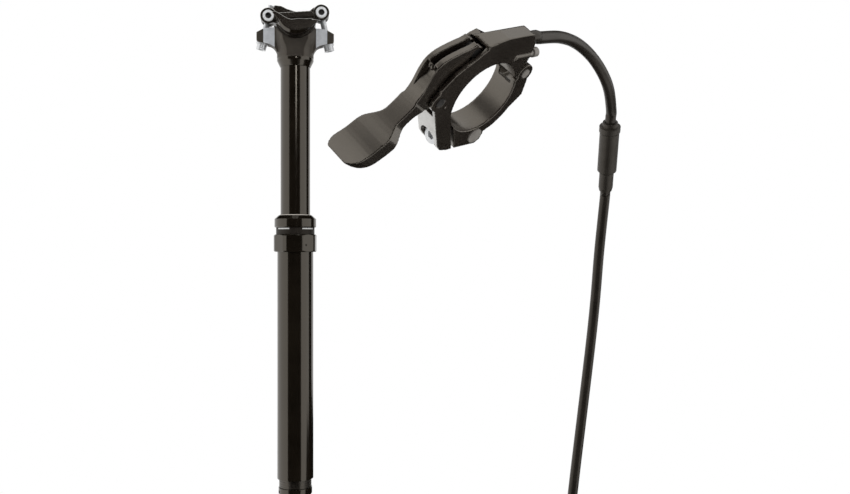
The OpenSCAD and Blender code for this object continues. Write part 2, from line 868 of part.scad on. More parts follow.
// Slot through an eye for the bolt, wide enough for every tilt
window_lean = 13;
window_swing = 9;
module bolt_window() {
    translate([0, 0, -20]) cylinder(r = bolt_r + 1.6, h = 40);
    for (a = [-window_swing, window_swing])
        rotate([0, a, 0]) translate([0, 0, -20]) cylinder(r = bolt_r + 0.9, h = 40);
}

module clamp_wing() {
    polygon([[-wing_half + 0.6, clamp_bottom], [wing_half - 0.6, clamp_bottom], [wing_half, clamp_bottom + 2],
             [wing_half - 2.4, wing_top], [2.4 - wing_half, wing_top], [-wing_half, clamp_bottom + 2]]);
}

module yoke_web() {
    eye_top = eye_rise + eye_r - 0.3;
    polygon([[-eye_x, eye_rise - 4], [-wing_half + 1, clamp_bottom + 0.6],
             [wing_half - 1, clamp_bottom + 0.6], [eye_x, eye_rise - 4],
             [eye_x, eye_top], [16, 8.6], [13.1, 6.4], [9.2, 5], [4, 5.6],
             [0, 6.6], [-6.6, 9.2], [-11, 11.8], [-16.6, 12.8], [-17.6, eye_top], [-eye_x, eye_top]]);
}

// Remote clamp

// Everything on the strap's side of the split and below the hinge
module strap_side(grow) {
    translate(split_at) rotate(split_turn)
        translate([-reach, -reach - split_gap / 2 + grow]) square([2 * reach, reach]);
}

module below_hinge() {
    translate(hinge_at) rotate(-24) translate([-1.5 * reach, -reach]) square([1.5 * reach + 8, reach]);
}

module ring_2d() {
    difference() {
        circle(r = ring_r);
        circle(r = bar_r);
    }
}

// Outline of the bolt lugs on both halves of the clamp
module bolt_lugs_2d() {
    polygon([[-8.6, 12.6], [-10.9, 14.4], [-14.7, 7.1], [-17.9, 0.8], [-18.4, -1.8], [-17.3, -4.4],
             [-15.9, -6.2], [-13.4, -9.9], [-11, -13.4], [-9, -14], [-7, -13], [-6.4, -9.2], [-11.2, 0]]);
}

module strap_2d() {
    intersection() {
        difference() {
            union() {
                ring_2d();
                bolt_lugs_2d();
                polygon([[11.5, -8], [14.2, -8.4], [8.1, -14.3], [-0.9, -13.8], [-7, -12.3], [0, -11.5],
                         [6, -10]]);
            }
            circle(r = bar_r);
        }
        strap_side(0);
        below_hinge();
    }
}

module body_2d() {
    difference() {
        union() {
            ring_2d();
            bolt_lugs_2d();
            translate(pivot_at) circle(r = ear_r);
            // Web between the pivot, the ring and the cable block
            polygon([[-10.9, 14.4], [-6, 18.4], [-0.8, 18.2], [3.4, 16.9], [5, 16.3], [9.5, 15], [11.6, 13.6],
                     [15, -3.2], [13.6, -5], [11, -3], [0, 12]]);
        }
        circle(r = bar_r);
        offset_strap();
        translate(hinge_at) circle(r = knuckle_r + free_gap);
    }
}

// The strap's half of the plane, grown by the split
module offset_strap() {
    intersection() {
        strap_side(split_gap);
        translate(hinge_at) rotate(-24)
            translate([-1.5 * reach, -reach]) square([1.5 * reach + 8, reach + split_gap]);
    }
}

module clamp_body() {
    color("#171310")
        on_remote()
            difference() {
                union() {
                    slab(clamp_w) body_2d();
                    cable_block();
                    slab(2 * tongue_half) body_knuckle();
                }
                cylinder(r = bar_r, h = through, center = true);
                // Slot for the lever's hub and fork, clear of the ring
                slab(2 * slot_half) lever_room();
                translate(pivot_at) cylinder(r = pivot_r + seat_gap, h = through, center = true);
                translate(hinge_at) cylinder(r = hinge_r + seat_gap, h = through, center = true);
                on_strap_bolt() {
                    along_x(strap_bolt_r + 0.2, -5, 2 * strap_bolt_reach);
                    along_x(strap_head_r + 0.25, -12, strap_head_in + strap_head_h);
                }
                on_cable() {
                    along_x(wire_r + wire_room, -3 * seat_back, 1);
                    along_x(block_ferrule_r + seat_gap, -block_ferrule_len, 1);
                    beside_cable() along_x(screw_r, -screw_len, 1);
                }
            }
}

module lever_room() {
    difference() {
        union() {
            translate(pivot_at) circle(r = hub_room);
            polygon([[-8.4, 30], [-8.4, 13], [-1, 13.5], [2.5, 11], [7, 10.5], [pocket_end, 12.6],
                     [pocket_end, 30]]);
            translate(cable_seat()) circle(r = fork_nose_r + free_gap + 0.3);
        }
        circle(r = slot_floor);
    }
}

function cable_seat() = cable_exit - seat_back * [cos(cable_turn), sin(cable_turn)];

// The block is flush with the clamp on its near side and falls away on its far side
module cable_block() {
    on_cable() {
        beside_cable() along_x(screw_boss_r, -2 * screw_len, -0.3);
        intersection() {
            slab(clamp_w)
                polygon([[-block_len, -block_half], [-block_len, 3], [-block_len + 1.5, 3.4],
                         [-block_len + 4, block_top - 0.5], [-block_len + 6.6, block_top],
                         [-2.6, block_top], [-1.9, block_top - 0.4], [0, 0.8], [0, -block_half]]);
            translate([-block_len - 1, 0, 0]) rotate([90, 0, 90]) linear_extrude(block_len + 2)
                polygon([[block_top + 1, half_w], [block_top + 1, 0.6], [block_top, 0], [3.5, -1.2],
                         [2, 0.5 - block_far], [0.6, -block_far], [-2.2, -block_far],
                         [-3.4, 0.8 - block_far], [-block_half, 0], [-block_half, half_w]]);
        }
    }
}

// Place of the block's screw, below the cable and towards the near side
module beside_cable() {
    translate([0, -screw_off * cos(screw_turn), screw_off * sin(screw_turn)]) children();
}

module body_knuckle() {
    difference() {
        union() {
            translate(hinge_at) circle(r = knuckle_r);
            polygon([[9.5, -1], [16.6, -3.6], [15.2, -7.8], [12.5, -7.6], [10.6, -6]]);
        }
        circle(r = bar_r);
    }
}

module clamp_strap() {
    color("#1a1613")
        on_remote()
            difference() {
                union() {
                    slab(clamp_w)
                        difference() {
                            strap_2d();
                            translate(hinge_at) circle(r = knuckle_r + free_gap);
                        }
                    for (s = [-1, 1]) translate([0, 0, s * (half_w + tongue_half + free_gap) / 2])
                        slab(half_w - tongue_half - free_gap) strap_knuckle();
                }
                translate(hinge_at)
                    cylinder(r = hinge_notch, h = 2 * (tongue_half + free_gap), center = true);
                translate(hinge_at) cylinder(r = hinge_r + fit, h = through, center = true);
                on_strap_bolt() {
                    along_x(strap_bolt_r + strap_bolt_room, -5, 2 * strap_bolt_reach);
                    translate([strap_nut_reach, 0, 0])
                        cylinder(r = strap_nut_r + seat_gap, h = through, center = true);
                }
            }
}

module strap_knuckle() {
    difference() {
        union() {
            translate(hinge_at) circle(r = knuckle_r);
            intersection() {
                ring_2d();
                below_hinge();
                translate(hinge_at) circle(r = knuckle_r + 3);
            }
        }
        circle(r = bar_r);
    }
}

module strap_hinge_pin() {
    color("#b7b9bb")
        on_remote() translate(hinge_at) cylinder(r = hinge_r, h = clamp_w + 0.4, center = true);
}

module strap_barrel_nut() {
    color("#c6c8ca")
        on_remote()
            on_strap_bolt()
                translate([strap_nut_reach, 0, 0])
                    difference() {
                        cylinder(r = strap_nut_r, h = clamp_w + 0.5, center = true);
                        along_x(strap_bolt_r + strap_bolt_room, -10, 10);
                    }
}

module strap_bolt() {
    color("#aeb1b4")
        on_remote()
            on_strap_bolt()
                difference() {
                    union() {
                        along_x(strap_head_r, strap_head_in, strap_head_in + strap_head_h - seat_gap);
                        along_x(strap_bolt_r, strap_head_in + 1, strap_bolt_reach);
                    }
                    translate([strap_head_in - 1, 0, 0]) rotate([0, 90, 0]) cylinder(r = 1.4, h = 2.6, $fn = 6);
                }
}

// Thumb lever

module lever_side(height) {
    difference() {
        union() {
            slab(height) polygon(concat(smooth(lever_top, 3), smooth(lever_under, 3)));
            translate(pivot_at) cylinder(r = hub_r, h = height, center = true);
            fork_seat(fork_nose_r, height);
        }
        translate(pivot_at) cylinder(r = pivot_r + 0.5 + seat_gap, h = height + 2, center = true);
        fork_seat(head_pin_r + free_gap, height + 2);
    }
}

// The cable's barrel can shift across the cable as the fork swings, so its seat is oblong
module fork_seat(r, height) {
    turn = atan2(head_slack[1], head_slack[0]);
    translate(cable_seat()) rotate(turn) {
        cylinder(r = r, h = height, center = true);
        translate([norm(head_slack), 0, 0]) cylinder(r = r, h = height, center = true);
        translate([0, -r, -height / 2]) cube([norm(head_slack), 2 * r, height]);
    }
}

function paddle_edge(t) = let(s = (1 - cos(180 * t)) / 2)
    [paddle_neck + t * (arm_start - paddle_neck), paddle_w / 2 + s * (arm_w - paddle_w) / 2];

module lever_plan() {
    flare = [for (t = [0 : 0.125 : 1]) paddle_edge(t)];
    corner = [for (a = [180 : -15 : 90])
        [paddle_end + paddle_corner + paddle_corner * cos(a),
         paddle_w / 2 - paddle_corner + paddle_corner * sin(a)]];
    fork = [[arm_end, arm_w / 2], [arm_end + 1, fork_w / 2], [20, fork_w / 2]];
    edge = concat(corner, flare, fork);
    polygon(concat(edge, [for (i = [len(edge) - 1 : -1 : 0]) [edge[i][0], -edge[i][1]]]));
}

module thumb_lever() {
    color("#3d3a36")
        on_remote()
            difference() {
                intersection() {
                    lever_side(paddle_w + 2);
                    rotate([90, 0, 0]) slab(120) lever_plan();
                }
                translate([-2.5, 5, -fork_slot / 2]) cube([30, 30, fork_slot]);
            }
}

module lever_bushings() {
    color("#c9b27a")
        on_remote()
            translate([pivot_at[0], pivot_at[1], 0])
                for (s = [-1, 1])
                    translate([0, 0, s * fork_w / 4])
                        difference() {
                            cylinder(r = pivot_r + 0.5, h = fork_w / 2 - 0.1, center = true);
                            cylinder(r = pivot_r + fit, h = fork_w, center = true);
                        }
}

module lever_pivot_pin() {
    color("#b7b9bb")
        on_remote() translate(pivot_at) cylinder(r = pivot_r, h = clamp_w + 0.3, center = true);
}

module cable_head() {
    color("#c2c4c6")
        on_remote()
            translate(cable_seat())
                difference() {
                    cylinder(r = head_pin_r, h = head_pin_len, center = true);
                    rotate([0, 0, cable_turn]) along_x(wire_r + seat_gap, 0, 10);
                }
}

module remote_wire() {
    color("#d0d2d4")
        on_remote() on_cable() along_x(wire_r, -seat_back + seat_gap, -2);
}

module remote_ferrule() {
    color("#bcbec0")
        on_remote()
            on_cable()
                difference() {
                    along_x(block_ferrule_r, -block_ferrule_len + seat_gap, block_ferrule_out);
                    along_x(housing_r + seat_gap, -2, 5);
                    along_x(wire_r + free_gap, -20, 5);
                }
}

module block_screw() {
    color("#8e9092")
        on_remote() on_cable() beside_cable()
            difference() {
                union() {
                    along_x(screw_r - seat_gap, 0.2 - screw_len, screw_head_out + 0.2);
                    along_x(screw_head_r, screw_head_out, screw_head_out + screw_head_h);
                }
                translate([screw_head_out + 0.8, 0, 0]) rotate([0, 90, 0])
                    cylinder(r = screw_socket_r, h = 2, $fn = 6);
            }
}

// Cable housing and its in-line adjuster

module on_adjuster() {
    d = unit(adjuster_dir);
    translate(adjuster_top)
        rotate([0, acos(d[2]), atan2(d[1], d[0])]) children();
}

module upper_housing() {
    d = unit(adjuster_dir);
    start = [for (k = [-2 + 2 * seat_gap, 1.5, 4.5]) remote_point(cable_exit, k)];
    end = [for (k = [-6, -3, 3 - seat_gap]) adjuster_top + k * d];
    color("#141210")
        swept(smooth(concat(start, upper_route, end), 2), housing_r, cord_sides);
}

// A point on the cable's line, some way out of the block, in the post's frame
function rot_x(a, p) = [p[0], p[1] * cos(a) - p[2] * sin(a), p[1] * sin(a) + p[2] * cos(a)];
function rot_y(a, p) = [p[0] * cos(a) + p[2] * sin(a), p[1], p[2] * cos(a) - p[0] * sin(a)];
function rot_z(a, p) = [p[0] * cos(a) - p[1] * sin(a), p[0] * sin(a) + p[1] * cos(a), p[2]];
function turn_by(r, p) = rot_z(r[2], rot_y(r[1], rot_x(r[0], p)));
function remote_point(at, out) =
    let(q = at + out * [cos(cable_turn), sin(cable_turn)])
    remote_pos + turn_by(remote_lean, turn_by(remote_turn, [q[0], q[1], 0]));

module adjuster_barrel() {
    r = adjuster_d / 2;
    color("#1c1916")
        on_adjuster()
            difference() {
                turned([[0, -1.5], [housing_r + 0.7, -1.5], [housing_r + 0.9, 0], [r + 0.25, 0],
                        [r + 0.25, 1.8],
                        [r, 2.2], [r, adjuster_len - 0.4], [r - 0.4, adjuster_len], [0, adjuster_len]]);
                translate([0, 0, -3]) cylinder(r = housing_r + fit, h = 6);
                translate([0, 0, adjuster_len - 9]) cylinder(d = adjuster_screw_d - 0.8 + 2 * fit, h = 10);
                translate([0, 0, -3]) cylinder(d = wire_d + 2 * free_gap, h = 40);
            }
}

module adjuster_screw() {
    color("#201d1a")
        on_adjuster()
            difference() {
                turned([[0, adjuster_len - 8], [adjuster_screw_d / 2 - 0.4, adjuster_len - 8],
                        [adjuster_screw_d / 2 - 0.4, adjuster_len + free_gap],
                        [adjuster_screw_d / 2, adjuster_len + free_gap],
                        [adjuster_screw_d / 2, adjuster_len + adjuster_screw_len - 1.2],
                        [housing_r + 0.4, adjuster_len + adjuster_screw_len],
                        [0, adjuster_len + adjuster_screw_len]]);
                translate([0, 0, adjuster_len + adjuster_screw_len - 4])
                    cylinder(r = housing_r + seat_gap, h = 6);
                translate([0, 0, adjuster_len - 10]) cylinder(d = wire_d + 2 * free_gap, h = 30);
            }
}

module lower_housing() {
    d = unit(adjuster_dir);
    mouth = adjuster_len + adjuster_screw_len;
    start = [for (k = [seat_gap - 4, 0.5, 4]) adjuster_top + (mouth + k) * d];
    foot = [cable_x, 0, actuator_z - ferrule_len];
    end = [for (k = [-38, -12, ferrule_seat - seat_gap]) foot + [0, 0, k]];
    color("#141210")
        swept(smooth(concat(start, lower_route, end), cord_steps), housing_r, cord_sides);
}

outer_tube();
collar_base();
collar_band();
seal_cap();
wiper_seal();
upper_bushing();
base_cap();
base_seal();
lock_ring();
bottom_bumper();
piston_rod();
piston();
piston_seal();
actuator_housing();
actuator_pivot_pin();
actuator_cam();
actuator_ferrule();
cable_anchor();
actuator_wire();
valve_pin();
shaft();
shaft_bushing();
guide_keys();
gas_cylinder();
cylinder_seal_head();
cylinder_cap();
head();
lower_cradle();
upper_clamp();
front_barrel_nut();
rear_barrel_nut();
front_clamp_bolt();
rear_clamp_bolt();
front_bolt_washer();
rear_bolt_washer();
clamp_body();
clamp_strap();
strap_hinge_pin();
strap_barrel_nut();
strap_bolt();
thumb_lever();
lever_bushings();
lever_pivot_pin();
cable_head();
remote_wire();
remote_ferrule();
block_screw();
upper_housing();
adjuster_barrel();
adjuster_screw();
lower_housing();
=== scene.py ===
"""Looks of the dropper seatpost, its thumb remote and its cable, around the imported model."""
import json
import math

import bmesh
import bpy
from mathutils import Euler, Matrix, Vector


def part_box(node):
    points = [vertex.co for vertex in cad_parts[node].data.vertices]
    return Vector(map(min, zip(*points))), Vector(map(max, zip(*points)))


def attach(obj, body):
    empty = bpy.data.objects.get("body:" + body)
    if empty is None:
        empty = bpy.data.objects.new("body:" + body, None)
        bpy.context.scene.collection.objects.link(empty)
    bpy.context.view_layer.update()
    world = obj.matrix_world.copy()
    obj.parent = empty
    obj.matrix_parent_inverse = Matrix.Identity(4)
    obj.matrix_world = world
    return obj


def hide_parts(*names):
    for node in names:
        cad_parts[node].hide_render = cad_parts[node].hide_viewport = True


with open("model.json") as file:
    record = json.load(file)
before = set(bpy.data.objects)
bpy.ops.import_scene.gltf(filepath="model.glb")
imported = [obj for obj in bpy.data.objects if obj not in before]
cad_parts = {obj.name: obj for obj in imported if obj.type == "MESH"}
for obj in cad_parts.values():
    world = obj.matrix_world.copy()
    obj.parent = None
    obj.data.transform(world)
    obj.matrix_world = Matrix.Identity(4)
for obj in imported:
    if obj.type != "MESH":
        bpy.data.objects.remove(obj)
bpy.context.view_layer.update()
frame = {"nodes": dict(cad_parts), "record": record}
record = frame["record"]
nodes = frame["nodes"]
scene = bpy.context.scene
MM = 0.001
SLOT = {p["node"]: p["material_slot"] for p in record["subparts"]}
BODY = {n: body for body, names in record["behaviour"]["bodies"].items() for n in names}

# Camera

IMAGE_W = 850
FOCAL_PX = 982
SENSOR = 36
CAMERA_AT = (0, -0.8574, 0.1995)
CAMERA_PAN = math.radians(-7.52)
camera_data = bpy.data.cameras.new("camera")
camera_data.sensor_width = SENSOR
camera_data.lens = FOCAL_PX * SENSOR / IMAGE_W
camera_data.clip_start = 0.01
camera_data.clip_end = 20
camera = bpy.data.objects.new("camera", camera_data)
camera.location = CAMERA_AT
camera.rotation_euler = (math.pi / 2, 0, CAMERA_PAN)
scene.collection.objects.link(camera)
scene.camera = camera

# Places that the source gives


def turn(degrees):
    return Euler([math.radians(d) for d in degrees], "XYZ").to_matrix().to_4x4()


# The remote's own plane: X and Y across the handlebar, Z along it
REMOTE_AT = (0.0476, -0.5977, 0.2419)
REMOTE = Matrix.Translation(REMOTE_AT) @ turn((8.6, 0, -10.92)) @ turn((151, -46.5, 0))
CABLE_EXIT = Vector((18.8, -1.25))
CABLE_TURN = math.radians(-54)
CABLE_DIR = Vector((math.cos(CABLE_TURN), math.sin(CABLE_TURN)))
ADJUSTER_TOP = Vector((102, -547, 239))
ADJUSTER_DIR = Vector((0.12, 0.57, -0.813)).normalized()
ADJUSTER_LEN = 17
SCREW_LEN = 7.5
HOUSING_R = 1.75


def remote_point(out):
    at = CABLE_EXIT + out * CABLE_DIR
    return (REMOTE @ Vector((at.x * MM, at.y * MM, 0))) / MM


# Cords

UPPER_ROUTE = [
    (65.4, -597.2, 256.3), (73, -590, 258.2), (80, -582, 258.6), (87, -573.4, 257),
    (93, -565.8, 253.6), (97.6, -559, 249.2)]
LOWER_ROUTE = [
    (105, -526, 198), (104, -521, 170), (98, -517, 111), (95, -513, 70), (92, -505, 30),
    (88, -490, -8), (82, -464, -44), (74, -424, -76), (64, -370, -100), (44, -245, -122),
    (24, -110, -129), (16, -60, -128), (12, -30, -121), (10.4, -11, -108), (10, -1.5, -92)]
FERRULE_FOOT = Vector((10, 0, -44))
ROUTE_STEPS = 6

# A cord is straight where it leaves or enters a fitting: distances along that line
UPPER_START = (-1.96, 1.5, 4.5)
UPPER_END = (-6, -3, 2.98)
LOWER_START = (-3.98, 0.5, 4)
LOWER_END = (-38, -12, 3.98)


def smooth(points, steps):
    """Points along a smooth curve through the given points."""
    p = [Vector(v) for v in points]
    out = []
    for i in range(len(p) - 1):
        a, b, c, d = p[max(i - 1, 0)], p[i], p[i + 1], p[min(i + 2, len(p) - 1)]
        for k in range(steps):
            t = k / steps
            out.append(0.5 * (2 * b + (c - a) * t + (2 * a - 5 * b + 4 * c - d) * t * t
                              + (3 * b - a - 3 * c + d) * t ** 3))
    return out + [p[-1]]


def housing(name, points, node):
    """A cable housing along the given points, in the node's place."""
    line = [v * MM for v in smooth(points, ROUTE_STEPS)]
    curve = bpy.data.curves.new(name, "CURVE")
    curve.dimensions = "3D"
    curve.bevel_depth = 1
    curve.bevel_resolution = 5
    curve.use_fill_caps = True
    spline = curve.splines.new("POLY")
    spline.points.add(len(line) - 1)
    for point, at in zip(spline.points, line):
        point.co = (*at, 1)
        point.radius = HOUSING_R * MM
    spline.use_smooth = True
    obj = bpy.data.objects.new(name, curve)
    scene.collection.objects.link(obj)
    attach(obj, "post")
    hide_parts(node)
    return obj


screw_end = ADJUSTER_TOP + (ADJUSTER_LEN + SCREW_LEN) * ADJUSTER_DIR
upper_housing = housing(
    "upper_cable_housing",
    [remote_point(k) for k in UPPER_START] + UPPER_ROUTE
    + [ADJUSTER_TOP + k * ADJUSTER_DIR for k in UPPER_END],
    "upper_housing")
lower_housing = housing(
    "lower_cable_housing",
    [screw_end + k * ADJUSTER_DIR for k in LOWER_START] + LOWER_ROUTE
    + [FERRULE_FOOT + Vector((0, 0, k)) for k in LOWER_END],
    "lower_housing")

# Materials


class Nodes:
    """A small wrapper that adds and links shader nodes."""

    def __init__(self, tree):
        self.tree = tree

    def add(self, kind, **sockets):
        node = self.tree.nodes.new("ShaderNode" + kind)
        for name, value in sockets.items():
            self.set(node, name.replace("_", " "), value)
        return node

    def set(self, node, socket, value):
        if isinstance(value, bpy.types.NodeSocket):
            self.tree.links.new(value, node.inputs[socket])
        else:
            node.inputs[socket].default_value = value

    def noise(self, scale, detail=2.0, roughness=0.5, stretch=None):
        coords = self.add("TexCoord").outputs["Object"]
        if stretch:
            mapping = self.add("Mapping", Vector=coords)
            mapping.inputs["Scale"].default_value = stretch
            coords = mapping.outputs["Vector"]
        return self.add("TexNoise", Vector=coords, Scale=scale, Detail=detail,
                        Roughness=roughness).outputs["Fac"]

    def ramp(self, fac, low, high, start=0.35, end=0.65):
        node = self.add("ValToRGB", Fac=fac)
        stops = node.color_ramp.elements
        stops[0].position, stops[0].color = start, (*low, 1)
        stops[1].position, stops[1].color = end, (*high, 1)
        return node.outputs["Color"]

    def span(self, fac, low, high):
        node = self.add("MapRange", Value=fac)
        node.inputs["To Min"].default_value = low
        node.inputs["To Max"].default_value = high
        return node.outputs["Result"]

    def larger(self, a, b):
        node = self.add("Math")
        node.operation = "MAXIMUM"
        self.set(node, 0, a)
        self.set(node, 1, b)
        return node.outputs["Value"]


GRAIN_DEPTH = 0.0001
CORNER_HIGHLIGHT_RANGE = (0.53, 0.62)


def finish(name, colours, rough, metallic=0.0, ior=1.5, tint=(1, 1, 1), cloud=60, grain=1500,
           bump=0.05, edge=0.0, stretch=None, corner_highlight=None):
    """A surface with clouded colour, uneven roughness and a fine grain.

    edge rounds its corners by that many millimetres, and the optional corner colour is painted on
    convex corners as a highlight."""
    mat = bpy.data.materials.new(name)
    mat.use_nodes = True
    n = Nodes(mat.node_tree)
    shader = mat.node_tree.nodes["Principled BSDF"]
    shader.inputs["Metallic"].default_value = metallic
    shader.inputs["IOR"].default_value = ior
    shader.inputs["Specular Tint"].default_value = (*tint, 1)
    colour = n.ramp(n.noise(cloud, 4.0, 0.6), *colours)
    # Convex corners, found by pointiness, are painted a paler colour as a highlight
    if corner_highlight:
        corners = n.add("NewGeometry").outputs["Pointiness"]
        corner_highlight_mask = n.ramp(corners, (0, 0, 0), (1, 1, 1), *CORNER_HIGHLIGHT_RANGE)
        mix = n.add("MixRGB", Fac=corner_highlight_mask, Color1=colour)
        mix.inputs["Color2"].default_value = (*corner_highlight, 1)
        colour = mix.outputs["Color"]
    n.set(shader, "Base Color", colour)
    fine = n.noise(grain, 2.0, 0.5, stretch)
    n.set(shader, "Roughness", n.span(fine, *rough))
    height = n.add("Bump", Strength=bump, Distance=GRAIN_DEPTH, Height=fine)
    if edge:
        rounded = n.add("Bevel", Radius=edge * MM)
        n.set(height, "Normal", rounded.outputs["Normal"])
    n.set(shader, "Normal", height.outputs["Normal"])
    return mat


WARM = (1.0, 0.91, 0.78)
gloss_black = finish("black_anodised_gloss", ((0.006, 0.0045, 0.003), (0.010, 0.0075, 0.005)),
                     (0.10, 0.16), ior=1.8, tint=WARM, cloud=40, bump=0.02, edge=0.15)
satin_black = finish("black_anodised_satin", ((0.008, 0.006, 0.005), (0.014, 0.011, 0.009)),
                     (0.22, 0.34), ior=1.9, tint=WARM, cloud=90, grain=2600, bump=0.08, edge=0.3)
clamp_black = finish("black_anodised_clamp", ((0.008, 0.006, 0.005), (0.014, 0.011, 0.009)),
                     (0.20, 0.32), ior=1.45, tint=WARM, cloud=90, grain=2600, bump=0.08)
# The head's convex corners are painted paler, a painted highlight
head_black = finish("black_anodised_head", ((0.020, 0.016, 0.013), (0.032, 0.027, 0.022)),
                    (0.46, 0.58), ior=1.8, tint=WARM, cloud=90, grain=2600, bump=0.08,
                    corner_highlight=(0.06, 0.055, 0.05))
remote_black = finish("black_anodised_remote", ((0.012, 0.009, 0.007), (0.020, 0.016, 0.013)),
                      (0.22, 0.28), ior=2.15, tint=WARM, cloud=120, grain=1500, bump=0.015)
machined = finish("machined_aluminium", ((0.60, 0.61, 0.62), (0.74, 0.75, 0.76)), (0.26, 0.42),
                  metallic=1.0, cloud=200, grain=900, bump=0.06, edge=0.2, stretch=(1, 1, 9))
blasted = finish("blasted_aluminium", ((0.60, 0.62, 0.65), (0.74, 0.76, 0.79)), (0.42, 0.58),
                 metallic=0.3, cloud=160, grain=2600, bump=0.10)
bare_flat = finish("bare_aluminium", ((0.58, 0.57, 0.55), (0.70, 0.69, 0.67)), (0.40, 0.55),
                   metallic=0.3, cloud=160, grain=2600, bump=0.10)
bright_steel = finish("bright_steel", ((0.80, 0.81, 0.82), (0.90, 0.91, 0.92)), (0.25, 0.40),
                      metallic=0.25, cloud=300, grain=3000, bump=0.05)
matt_black = finish("black_anodised_matt", ((0.008, 0.006, 0.005), (0.014, 0.011, 0.009)), (0.45, 0.60),
                    ior=1.4, tint=WARM, cloud=90, grain=2600, bump=0.08, edge=0.15)
steel = finish("plated_steel", ((0.66, 0.67, 0.68), (0.80, 0.81, 0.82)), (0.22, 0.36),
               metallic=0.55, cloud=300, grain=3000, bump=0.05, edge=0.2)
dark_steel = finish("oiled_steel", ((0.05, 0.048, 0.045), (0.10, 0.095, 0.09)), (0.30, 0.45),
                    metallic=0.6, cloud=300, grain=3000, bump=0.05, edge=0.15)
grey_steel = finish("grey_steel", ((0.26, 0.24, 0.22), (0.36, 0.34, 0.31)), (0.35, 0.50),
                    metallic=0.3, cloud=300, grain=3000, bump=0.05, edge=0.15)
# A pale colour painted on the saddle clamp's upper edges as their highlight
painted_edge_highlight = finish("painted_edge_highlight", ((0.46, 0.45, 0.42), (0.58, 0.56, 0.53)), (0.35, 0.50),
                     metallic=0.2, cloud=300, grain=3000, bump=0.05)
brass = finish("brass", ((0.60, 0.42, 0.15), (0.74, 0.55, 0.24)), (0.22, 0.36), metallic=1.0,
               cloud=200, grain=2500, bump=0.06, edge=0.15)
rubber = finish("black_rubber", ((0.016, 0.016, 0.016), (0.030, 0.030, 0.029)), (0.55, 0.75),
                cloud=150, grain=3500, bump=0.15)
wiper_grey = finish("wiper_rubber", ((0.52, 0.48, 0.43), (0.62, 0.58, 0.52)), (0.45, 0.60),
                    cloud=200, grain=3500, bump=0.1)
bearing = finish("bearing_plastic", ((0.40, 0.38, 0.32), (0.52, 0.49, 0.42)), (0.40, 0.55),
                 cloud=180, grain=2500, bump=0.06)
housing_black = finish("housing_plastic", ((0.012, 0.010, 0.008), (0.022, 0.018, 0.015)),
                       (0.28, 0.42), ior=1.5, tint=WARM, cloud=90, grain=3000, bump=0.10)
adjuster_black = finish("adjuster_plastic", ((0.018, 0.015, 0.012), (0.030, 0.026, 0.022)),
                        (0.34, 0.48), ior=1.5, tint=WARM, cloud=150, grain=4500, bump=0.12, edge=0.2)
wire_steel = finish("wire_strand", ((0.50, 0.50, 0.50), (0.70, 0.70, 0.70)), (0.25, 0.40),
                    metallic=1.0, cloud=900, grain=2500, bump=0.4, stretch=(1, 1, 0.3))
white_paint = finish("white_paint", ((0.62, 0.62, 0.61), (0.72, 0.72, 0.71)), (0.40, 0.55),
                     cloud=300, grain=3000, bump=0.05)

LOOK = {"bearing_plastic": bearing, "black_rubber": rubber, "steel": steel, "brass": brass,
        "bare_aluminium": machined, "black_anodised": satin_black,
        "housing_plastic": housing_black, "adjuster_plastic": adjuster_black}
SPECIAL = {"outer_tube": gloss_black, "shaft": gloss_black, "collar_base": gloss_black,
           "seal_cap": gloss_black, "collar_band": matt_black, "lock_ring": gloss_black,
           "wiper_seal": wiper_grey, "clamp_body": remote_black, "clamp_strap": remote_black,
           "thumb_lever": remote_black, "actuator_wire": wire_steel, "remote_wire": wire_steel,
           "head": head_black, "cable_head": dark_steel, "lever_bushings": dark_steel,
           "lever_pivot_pin": dark_steel, "strap_hinge_pin": grey_steel,
           "strap_barrel_nut": grey_steel, "block_screw": grey_steel,
           "remote_ferrule": grey_steel}
for name, obj in nodes.items():
    obj.data.materials.clear()
    obj.data.materials.append(SPECIAL.get(name, LOOK[SLOT[name]]))
for obj in (upper_housing, lower_housing):
    obj.data.materials.append(housing_black)

# Eased pieces


def eased(node, voxel, rounds, mats, pick=None, shape=None):
    """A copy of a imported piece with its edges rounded, which takes that piece's place.

    shape(co, normal) gives a vertex's new place, and pick(centre, normal) a face's material."""
    obj = bpy.data.objects.new(node + "_eased", nodes[node].data.copy())
    scene.collection.objects.link(obj)
    remesh = obj.modifiers.new("even", "REMESH")
    remesh.mode = "VOXEL"
    remesh.voxel_size = voxel * MM
    smoothing = obj.modifiers.new("round", "SMOOTH")
    smoothing.factor = 0.5
    smoothing.iterations = rounds
    depsgraph = bpy.context.evaluated_depsgraph_get()
    mesh = bpy.data.meshes.new_from_object(obj.evaluated_get(depsgraph))
    obj.modifiers.clear()
    obj.data = mesh
    if shape:
        moved = [shape(v.co, v.normal) for v in mesh.vertices]
        mesh.vertices.foreach_set("co", [c for co in moved for c in co])
        mesh.update()
    mesh.materials.clear()
    for mat in mats:
        mesh.materials.append(mat)
    if pick:
        mesh.polygons.foreach_set("material_index", [pick(f.center, f.normal) for f in mesh.polygons])
    mesh.shade_smooth()
    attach(obj, BODY[node])
    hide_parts(node)
    return obj


TO_REMOTE = REMOTE.inverted()
TO_REMOTE_TURN = TO_REMOTE.to_3x3()


def in_remote(co):
    return (TO_REMOTE @ co) / MM


def ramp_up(x, low, high):
    t = min(max((x - low) / (high - low), 0), 1)
    return t * t * (3 - 2 * t)


# The thumb lever's arm has a shallow trough that runs into the fork's slot
TROUGH = {"start": -2.4, "end": -10.0, "level": 2, "far": -1.5, "near": 2.35, "lip": 0.2,
          "depth": 1.9, "facing": 0.4}


